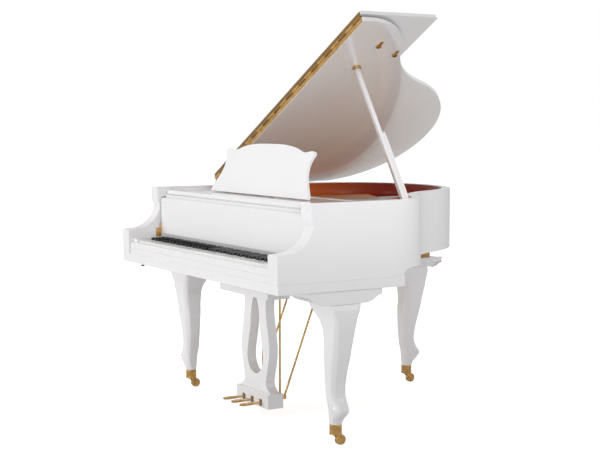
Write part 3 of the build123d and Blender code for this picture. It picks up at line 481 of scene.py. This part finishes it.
def rim_lining():
    """Veneer on the rim's inner faces: the shell's inward faces that reach its top, given thickness."""
    points, faces = cad_mesh("outer_rim")
    corners = points[faces]
    normal = np.cross(corners[:, 1] - corners[:, 0], corners[:, 2] - corners[:, 0])
    normal /= np.maximum(np.linalg.norm(normal, axis=1, keepdims=True), 1e-12)
    middle = corners.mean(1)
    looks_in = (normal[:, :2] * (middle[:, :2] - INSIDE[:2])).sum(1) < 0
    upright = np.abs(normal[:, 2]) < 0.05
    behind_shelf = middle[:, 1] > place(0, 240, 0)[1]
    reaches_top = np.abs(corners[:, :, 2].max(1) - rim_high.z) < 0.0004
    faces = faces[looks_in & upright & behind_shelf & reaches_top]
    used, index = np.unique(faces.reshape(-1), return_inverse=True)
    co = points[used]
    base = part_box("soundboard")[1].z + 0.001
    co[:, 2] = np.clip(co[:, 2], base, rim_high.z - 0.003)
    co[:, 1] = np.maximum(co[:, 1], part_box("music_shelf")[1].y + 0.002)
    piece = add_piece("rim_lining", co, index.reshape(-1, 3), "case", "case_veneer")
    weld(piece)
    turn_towards(piece.data, INSIDE)
    wall = piece.modifiers.new("veneer", "SOLIDIFY")
    wall.thickness = LINING_THICKNESS
    wall.offset = 1.0
    smooth(piece, 40)


rim_lining()


# ================= legs =================
# Heights and the scroll eye's place beside the foot, in millimetres.
LEG_TOP = 592.0
SOCKET_TOP = 88.0
EYE_ALONG = 30
EYE_HEIGHT = 150


def leg_surface(name, node, x, y, turn):
    """Cabriole leg: at each height a square section with cut corners, its four sides following smooth curves.

    The section's radius towards angle a is the least of 1 / max(|cos a|, |sin a|) and
    k / (|cos a| + |sin a|), and the scroll eyes beside the foot are rings raised on the flanks.
    """
    rows, columns = 150, 96
    share = 1 - np.linspace(0, 1, rows) ** 0.9
    knee = [(0.0, 25), (0.04, 34), (0.083, 56), (0.127, 70), (0.173, 53), (0.232, 35), (0.329, 34),
            (0.42, 43), (0.552, 61), (0.70, 76), (0.819, 88), (0.881, 90), (0.94, 88), (1.0, 74)]
    back = [(0.0, -23), (0.127, -25), (0.232, -34), (0.329, -40), (0.42, -42), (0.552, -41),
            (0.70, -36), (0.819, -46), (0.881, -71), (0.94, -97), (1.0, -94)]
    flank = [(0.0, 24), (0.08, 30), (0.152, 32), (0.232, 35), (0.329, 37), (0.42, 40), (0.552, 45),
             (0.70, 50), (0.819, 55), (0.881, 60), (0.94, 69), (1.0, 77)]
    corner_cut = [(0.0, 1.42), (0.05, 1.5), (0.12, 1.6), (0.3, 1.56), (0.6, 1.6), (0.85, 1.72), (1.0, 1.92)]
    hi = eased(knee, share)[:, None]
    lo = eased(back, share)[:, None]
    half = eased(flank, share)[:, None]
    cut = eased(corner_cut, share)[:, None]
    a = (np.arange(columns) / columns * 2 * np.pi)[None, :]
    c, s = np.cos(a), np.sin(a)
    square = 1 / np.maximum(np.abs(c), np.abs(s))
    corner = cut / (np.abs(c) + np.abs(s))
    groove = np.abs(corner - square) < 0.045
    radius = np.minimum(square, corner) * np.where(groove & (share[:, None] < 0.93), 0.978, 1.0)
    u = (hi + lo) / 2 + (hi - lo) / 2 * radius * c
    v = half * radius * s
    z = SOCKET_TOP + share[:, None] * (LEG_TOP - SOCKET_TOP) + 0 * a
    eye = np.hypot(u - EYE_ALONG, z - EYE_HEIGHT)
    ring = 3.6 * np.exp(-(((eye - 8.5) / 2.4) ** 2)) + 2.0 * np.exp(-((eye / 3.0) ** 2))
    v = v + np.sign(s) * ring * (np.abs(s) > 0.5)
    angle = math.radians(turn)
    wx = x + u * math.cos(angle) - v * math.sin(angle)
    wy = y + u * math.sin(angle) + v * math.cos(angle)
    faces = [f[::-1] for f in grid_faces(rows, columns)]
    piece = add_piece(name, place(wx, wy, z), faces, "case", "white_lacquer")
    smooth(piece, 32)
    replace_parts(piece, node)
    dressed(node, 0.004, pick=lambda low, high: low[2] > (LEG_TOP - 40) / 1000, name=name + "_plate")


def socket_place(node):
    """Middle of a caster fork's stem in millimetres from the working origin."""
    pivot = JOINT["caster_swivel_" + node.split("_")[-1]]["pos_m"]
    return [(pivot[i] - CENTRE[i]) * 1000 for i in range(2)]


for leg, turn in (("treble", 0), ("bass", 180), ("rear", 90)):
    sx, sy = socket_place("caster_fork_" + leg)
    leg_surface("cabriole_leg_" + leg, "leg_" + leg, sx, sy, turn)


# ================= strings and felt =================
def string_ends():
    """Both ends and radius of every CAD string, from the solids of the strings node."""
    points, faces = cad_mesh("strings")
    labels = islands(points, faces)
    ends = []
    for label in np.unique(labels):
        solid = points[faces[labels == label].reshape(-1)]
        front = solid[solid[:, 1] < solid[:, 1].min() + 0.004].mean(0)
        rear = solid[solid[:, 1] > solid[:, 1].max() - 0.004].mean(0)
        ends.append((front, rear, (solid[:, 2].max() - solid[:, 2].min()) / 2))
    return sorted(ends, key=lambda e: e[0][0])


def wires(name, runs, material, sides=6):
    """Round wires: six points about each end of every run, joined as tubes with closed ends."""
    points, faces = [], []
    a = np.arange(sides) / sides * 2 * np.pi
    for front, rear, radius in runs:
        ring = np.stack([np.cos(a) * radius, 0 * a, np.sin(a) * radius], -1)
        faces += grid_faces(2, sides, len(points) * sides)
        points += [front + ring, rear + ring]
    piece = add_piece(name, np.concatenate(points), faces, "case", "steel", material)
    smooth(piece, 70)
    return piece


# How many of the lowest notes have a single wound string, and how many have wound strings at all.
SINGLE_NOTES = 10
WOUND_NOTES = 20
PAIR_SHIFT = 0.0021
TRIO_SHIFT = 0.0022
PLAIN_RADIUS = 0.0005


def string_band():
    """One wound string a note in the low bass, two in the high bass, three plain wires above."""
    wound, plain = [], []
    for i, (front, rear, radius) in enumerate(string_ends()):
        if i < SINGLE_NOTES:
            wound.append((front, rear, radius))
        elif i < WOUND_NOTES:
            for side in (-1, 1):
                shift = np.array([side * PAIR_SHIFT, 0, 0])
                wound.append((front + shift, rear + shift, radius * 0.8))
        else:
            for side in (-1, 0, 1):
                shift = np.array([side * TRIO_SHIFT, 0, 0])
                plain.append((front + shift, rear + shift, PLAIN_RADIUS))
    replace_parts(wires("bass_strings", wound, COPPER), "strings")
    wires("plain_strings", plain, FINISH["steel"])


string_band()


# ================= small fittings =================
def ring_points(middle, axis, radius, height, count=28):
    """Ring of points about an axis: a circle across it, moved a height along it from the middle."""
    axis = np.array(axis, float) / np.linalg.norm(axis)
    side = np.cross(axis, (0.3, 0.2, 0.9))
    side /= np.linalg.norm(side)
    other = np.cross(axis, side)
    a = (np.arange(count) / count * 2 * np.pi)[:, None]
    return np.array(middle) + radius * (np.cos(a) * side + np.sin(a) * other) + np.array(axis) * height


def turned(name, middle, axis, profile, body, slot, material=None, count=28):
    """Turned piece: rings of a (height, radius) profile stacked along its axis, closed at both ends."""
    rings = [ring_points(middle, axis, r / 1000, h / 1000, count) for h, r in profile]
    piece = add_piece(name, np.concatenate(rings), grid_faces(len(profile), count), body, slot, material)
    smooth(piece, 40)
    return piece


def slab(name, x, y, z, body, slot, material=None, round_by=0.0004):
    """Thin slab between two corners in millimetres: a ring of four points at each end, edges rounded."""
    xs, ys, zs = [np.array(v, float) for v in (x, y, z)]
    ring = [(xs[0], zs[0]), (xs[1], zs[0]), (xs[1], zs[1]), (xs[0], zs[1])]
    points = np.array([place(a, yy, b) for yy in ys for a, b in ring])
    piece = add_piece(name, points, grid_faces(2, 4), body, slot, material)
    bevel = piece.modifiers.new("rounded_edges", "BEVEL")
    bevel.width = round_by
    bevel.segments = 2
    return piece


def make_fittings():
    """Rod couplers, lock knob, a name felt whose grey is partly painted shade and reflection, and the arms'
    fallboard plates.
    """
    coupler = [(0, 4.7), (1, 7.5), (20, 7.5), (21, 4.7)]
    knob = [(0, 4), (2, 4), (4, 7), (12, 8), (15, 6)]
    for name in ("soft", "sostenuto", "damper"):
        low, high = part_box("pedal_" + name)
        x = ((low.x + high.x) / 2 - CENTRE[0]) * 1000
        turned("rod_coupler_" + name, place(x, 400, 560), (0, 0, 1), coupler, "rod_" + name, "brass")
    turned("lock_knob", place(-583, 30, 644), (0, 0, -1), knob, "case", "black_keys")
    low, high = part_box("fallboard")
    face = (low.y - CENTRE[1]) * 1000
    reach = (high.x - CENTRE[0]) * 1000
    # Name felt under the fallboard; its grey tone is partly painted shadow and reflection at the fallboard's
    # lower edge.
    slab("name_felt_and_shade", (-reach + 22, reach - 22), (face - 1.2, face + 0.2), (758.5, 777), "fallboard",
         "damper_felt", GREY_FELT_AND_SHADE)
    for side, end in ((-1, "bass"), (1, "treble")):
        x = sorted((side * (HALF * 1000 - 74.2), side * (HALF * 1000 - 74.8)))
        slab("arm_plate_" + end, x, (face - 26, face - 4), (758, 802), "case", "brass", round_by=0.0002)


make_fittings()


# ================= stage =================
SURROUND_STRENGTH = 0.66
FLOOR_REACH = 30
PLAIN_WHITE = (1, 1, 1, 1)


def soft_light(name, spot, aim, size, power, colour=(1, 1, 1), spread=180):
    """Broad lamp at a spot, turned to its aim, with the spread of its beam in degrees."""
    light = bpy.data.lights.new(name, "AREA")
    light.energy = power
    light.color = colour
    light.shape = "RECTANGLE"
    light.size, light.size_y = size
    light.spread = math.radians(spread)
    lamp = bpy.data.objects.new(name, light)
    bpy.context.collection.objects.link(lamp)
    lamp.location = spot
    lamp.rotation_euler = (Vector(aim) - Vector(spot)).to_track_quat("-Z", "Y").to_euler()


def seen_only(tree, plain, seen):
    """Strength that is one value to the camera and another to every other ray."""
    ray = add_node(tree, "ShaderNodeLightPath")
    pick = add_node(tree, "ShaderNodeMapRange", {"To Min": plain, "To Max": seen})
    tree.links.new(ray.outputs["Is Camera Ray"], pick.inputs["Value"])
    return pick.outputs["Result"]


def make_stage():
    """Pale floor and bright even surround, with broad lamps in front, at the treble side and overhead."""
    corners = [(-1, -1, 0), (1, -1, 0), (1, 1, 0), (-1, 1, 0)]
    mesh = bpy.data.meshes.new("floor")
    mesh.from_pydata((np.array(corners, float) * FLOOR_REACH).tolist(), [], [[0, 1, 2, 3]])
    floor = bpy.data.objects.new("floor", mesh)
    bpy.context.collection.objects.link(floor)
    material, tree, shader = start_material("pale_floor", Roughness=0.9)
    shader.inputs["Base Color"].default_value = (0.80, 0.80, 0.80, 1)
    shader.inputs["Emission Color"].default_value = PLAIN_WHITE
    tree.links.new(seen_only(tree, 0.0, 0.62), shader.inputs["Emission Strength"])
    mesh.materials.append(material)
    world = bpy.data.worlds.new("bright_surround")
    bpy.context.scene.world = world
    world.use_nodes = True
    background = world.node_tree.nodes["Background"]
    background.inputs["Color"].default_value = PLAIN_WHITE
    strength = seen_only(world.node_tree, SURROUND_STRENGTH, 1.0)
    world.node_tree.links.new(strength, background.inputs["Strength"])
    soft_light("front_softbox", (-1.6, -5.2, 1.3), (-0.1, -0.5, 0.8), (2.6, 1.6), 88, (1.0, 0.99, 0.985))
    soft_light("treble_softbox", (2.8, 0.4, 2.3), (0.6, -0.1, 0.85), (2.0, 1.2), 5)
    soft_light("inside_fill", (3.4, -1.3, 1.25), (-0.5, 0.2, 1.08), (1.6, 0.4), 1.4, (1.0, 0.985, 1.0), 28)
    soft_light("overhead_softbox", (-1.5, -0.5, 4.5), (0, 0, 0.6), (3.5, 3.5), 18)
    bpy.context.scene.view_settings.view_transform = "Standard"
    bpy.context.scene.view_settings.exposure = 0.0


SENSOR_WIDTH = 36.0
LENS = 75.348


def make_camera():
    """Long lens, just above the rim, well round to the treble side."""
    azimuth, elevation = math.radians(59.0), math.radians(4.8)
    distance = 5.7247
    target = Vector(place(9.3, 546.5, 824.3))
    level = math.cos(elevation)
    back = Vector((math.sin(azimuth) * level, -math.cos(azimuth) * level, math.sin(elevation)))
    data = bpy.data.cameras.new("camera")
    data.sensor_width = SENSOR_WIDTH
    data.lens = LENS
    camera = bpy.data.objects.new("camera", data)
    bpy.context.collection.objects.link(camera)
    camera.location = target + back * distance
    camera.rotation_euler = (-back).to_track_quat("-Z", "Y").to_euler()
    data.clip_end = 200
    bpy.context.scene.camera = camera


make_stage()
make_camera()
